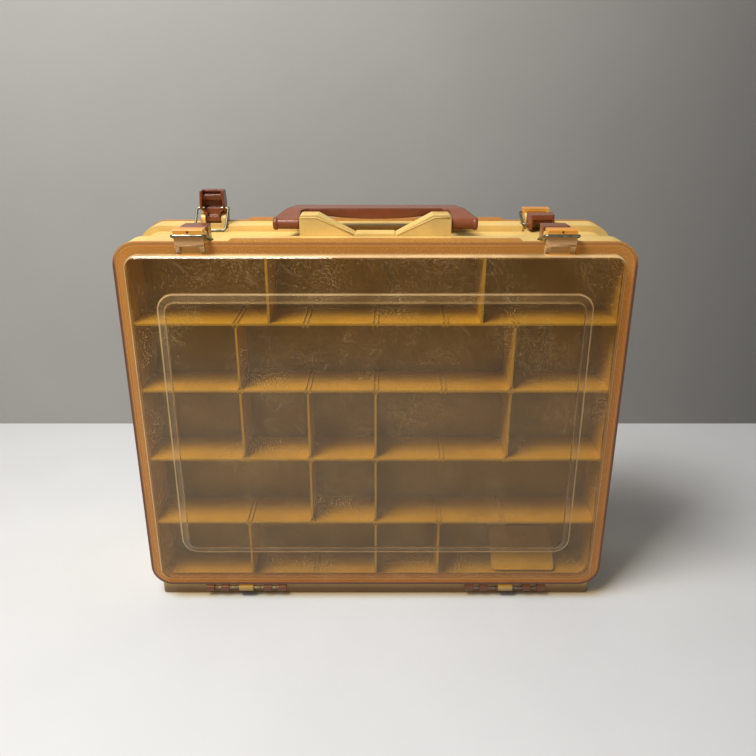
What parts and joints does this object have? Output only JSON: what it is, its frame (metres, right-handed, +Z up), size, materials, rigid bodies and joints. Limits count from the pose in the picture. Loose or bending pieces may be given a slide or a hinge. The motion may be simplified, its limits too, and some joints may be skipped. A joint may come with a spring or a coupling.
{
  "type": "tackle box",
  "caption": "Double-sided carrying case for fishing tackle: two divided trays back to back, each under a clear hinged lid with wire-bail latches, and a folding handle on top.",
  "frame": {"origin": "under the middle of the case, on the surface it stands on", "axes": "X along the case, +Y from the front lid to the back lid, +Z up"},
  "size_m": [0.394, 0.1162, 0.3439],
  "materials": {
    "tan_plastic": "moulded satin",
    "amber_clear_plastic": "clear tinted gloss, scuffed",
    "brown_plastic": "moulded semi-gloss",
    "bail_wire": "drawn wire, plated",
    "pin_steel": "drawn rod",
    "handle_pin_steel": "drawn rod"
  },
  "bodies": {
    "case": {"back_foot_rail": "tan_plastic", "back_hinge_pin_left": "pin_steel", "back_hinge_pin_right": "pin_steel", "back_latch_pin_left": "pin_steel", "back_latch_pin_right": "pin_steel", "back_row_1_wall_left": "tan_plastic", "back_row_1_wall_right": "tan_plastic", "back_row_2_divider_1": "tan_plastic", "back_row_3_divider_1": "tan_plastic", "back_row_3_divider_2": "tan_plastic", "back_row_4_divider_1": "tan_plastic", "back_row_4_divider_2": "tan_plastic", "back_row_5_divider_1": "tan_plastic", "back_row_shelf_1": "tan_plastic", "back_row_shelf_2": "tan_plastic", "back_row_shelf_3": "tan_plastic", "back_row_shelf_4": "tan_plastic", "back_tray": "tan_plastic", "back_tray_floor": "tan_plastic", "front_foot_rail": "tan_plastic", "front_hinge_pin_left": "pin_steel", "front_hinge_pin_right": "pin_steel", "front_latch_pin_left": "pin_steel", "front_latch_pin_right": "pin_steel", "front_row_1_wall_left": "tan_plastic", "front_row_1_wall_right": "tan_plastic", "front_row_2_divider_1": "tan_plastic", "front_row_2_divider_2": "tan_plastic", "front_row_3_divider_1": "tan_plastic", "front_row_3_divider_2": "tan_plastic", "front_row_3_divider_3": "tan_plastic", "front_row_3_divider_4": "tan_plastic", "front_row_4_divider_1": "tan_plastic", "front_row_4_divider_2": "tan_plastic", "front_row_5_divider_1": "tan_plastic", "front_row_5_divider_2": "tan_plastic", "front_row_5_divider_3": "tan_plastic", "front_row_shelf_1": "tan_plastic", "front_row_shelf_2": "tan_plastic", "front_row_shelf_3": "tan_plastic", "front_row_shelf_4": "tan_plastic", "front_tray": "tan_plastic", "front_tray_floor": "tan_plastic", "handle_guard": "tan_plastic", "handle_pin_left": "handle_pin_steel", "handle_pin_right": "handle_pin_steel", "spare_divider": "tan_plastic"},
    "front_lid": {"front_lid": "amber_clear_plastic"},
    "back_lid": {"back_lid": "amber_clear_plastic"},
    "handle": {"handle": "brown_plastic"},
    "back_latch_bail_left": {"back_latch_bail_left": "bail_wire"},
    "back_latch_bail_right": {"back_latch_bail_right": "bail_wire"},
    "back_latch_lever_left": {"back_latch_lever_left": "brown_plastic"},
    "back_latch_lever_right": {"back_latch_lever_right": "brown_plastic"},
    "front_latch_bail_left": {"front_latch_bail_left": "bail_wire"},
    "front_latch_bail_right": {"front_latch_bail_right": "bail_wire"},
    "front_latch_lever_left": {"front_latch_lever_left": "brown_plastic"},
    "front_latch_lever_right": {"front_latch_lever_right": "brown_plastic"}
  },
  "joints": [
    {"name": "front_lid_hinge", "type": "hinge", "parent": "case", "child": "front_lid", "pos_m": [0, -0.0465, 0.0085], "axis": [1, 0, 0], "range_deg": [0, 165]},
    {"name": "back_lid_hinge", "type": "hinge", "parent": "case", "child": "back_lid", "pos_m": [0, 0.0465, 0.0085], "axis": [-1, 0, 0], "range_deg": [0, 165]},
    {"name": "handle_hinge", "type": "hinge", "parent": "case", "child": "handle", "pos_m": [0, -0.017, 0.326], "axis": [1, 0, 0], "range_deg": [0, 100]},
    {"name": "front_latch_left_lever_pivot", "type": "hinge", "parent": "case", "child": "front_latch_lever_left", "pos_m": [-0.137, -0.0418, 0.3199], "axis": [1, 0, 0], "range_deg": [0, 90]},
    {"name": "front_latch_left_bail_pivot", "type": "hinge", "parent": "front_latch_lever_left", "child": "front_latch_bail_left", "pos_m": [-0.137, -0.0323, 0.3166], "axis": [1, 0, 0], "range_deg": [-49.55, 0]},
    {"name": "front_latch_right_lever_pivot", "type": "hinge", "parent": "case", "child": "front_latch_lever_right", "pos_m": [0.137, -0.0418, 0.3199], "axis": [1, 0, 0], "range_deg": [0, 90]},
    {"name": "front_latch_right_bail_pivot", "type": "hinge", "parent": "front_latch_lever_right", "child": "front_latch_bail_right", "pos_m": [0.137, -0.0323, 0.3166], "axis": [1, 0, 0], "range_deg": [-49.55, 0]},
    {"name": "back_latch_left_lever_pivot", "type": "hinge", "parent": "case", "child": "back_latch_lever_left", "pos_m": [-0.137, 0.0418, 0.3199], "axis": [1, 0, 0], "range_deg": [0, 90]},
    {"name": "back_latch_left_bail_pivot", "type": "hinge", "parent": "back_latch_lever_left", "child": "back_latch_bail_left", "pos_m": [-0.137, 0.0385, 0.3294], "axis": [1, 0, 0], "range_deg": [-125.64, 0]},
    {"name": "back_latch_right_lever_pivot", "type": "hinge", "parent": "case", "child": "back_latch_lever_right", "pos_m": [0.137, 0.0418, 0.3199], "axis": [-1, 0, 0], "range_deg": [0, 90]},
    {"name": "back_latch_right_bail_pivot", "type": "hinge", "parent": "back_latch_lever_right", "child": "back_latch_bail_right", "pos_m": [0.137, 0.0323, 0.3166], "axis": [-1, 0, 0], "range_deg": [-49.55, 0]}
  ],
  "couplings": [
    {"joint": "front_latch_left_bail_pivot", "follows": "front_latch_left_lever_pivot", "ratio": -0.55},
    {"joint": "front_latch_right_bail_pivot", "follows": "front_latch_right_lever_pivot", "ratio": -0.55},
    {"joint": "back_latch_left_bail_pivot", "follows": "back_latch_left_lever_pivot", "ratio": -1.3954},
    {"joint": "back_latch_right_bail_pivot", "follows": "back_latch_right_lever_pivot", "ratio": -0.55}
  ]
}
